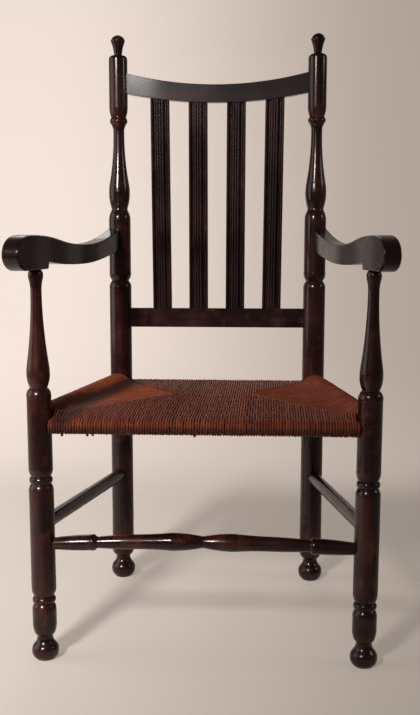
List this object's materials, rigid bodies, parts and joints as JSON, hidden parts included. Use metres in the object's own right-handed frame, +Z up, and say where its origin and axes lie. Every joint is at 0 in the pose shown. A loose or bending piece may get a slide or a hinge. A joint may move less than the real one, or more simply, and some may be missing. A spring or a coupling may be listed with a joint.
{
  "type": "banister-back armchair",
  "caption": "Tall armchair with turned posts, reeded banister back under a sagging crest rail, S-curved arms on turned supports, turned front stretcher and woven rush seat.",
  "frame": {"origin": "bottom centre of the bounding box, on the floor between the four feet", "axes": "+Z up, the chair faces -Y, +X towards the chair's right-hand post as seen from the front"},
  "size_m": [0.6212, 0.5624, 1.1253],
  "materials": {
    "stained_wood": "near-black red-brown stain under a glossy varnish",
    "bare_wood": "unfinished riven hardwood, hidden in the rush",
    "peg_wood": "stained pegs, end grain showing",
    "rush": "twisted rush cord, painted red-brown and worn",
    "rush_stuffing": "loose broken rush packed inside the seat"
  },
  "bodies": {
    "root": {"rear_post_left": "stained_wood", "rear_post_right": "stained_wood", "front_post_left": "stained_wood", "front_post_right": "stained_wood", "arm_left": "stained_wood", "arm_right": "stained_wood", "crest_rail": "stained_wood", "lower_back_rail": "stained_wood", "banister_outer_left": "stained_wood", "banister_inner_left": "stained_wood", "banister_inner_right": "stained_wood", "banister_outer_right": "stained_wood", "front_stretcher": "stained_wood", "side_stretcher_left": "stained_wood", "side_stretcher_right": "stained_wood", "front_seat_rail": "bare_wood", "rear_seat_rail": "bare_wood", "left_seat_rail": "bare_wood", "right_seat_rail": "bare_wood", "rush_seat": "rush", "seat_stuffing": "rush_stuffing", "back_rail_pegs": "peg_wood", "arm_pegs": "peg_wood"}
  },
  "joints": []
}
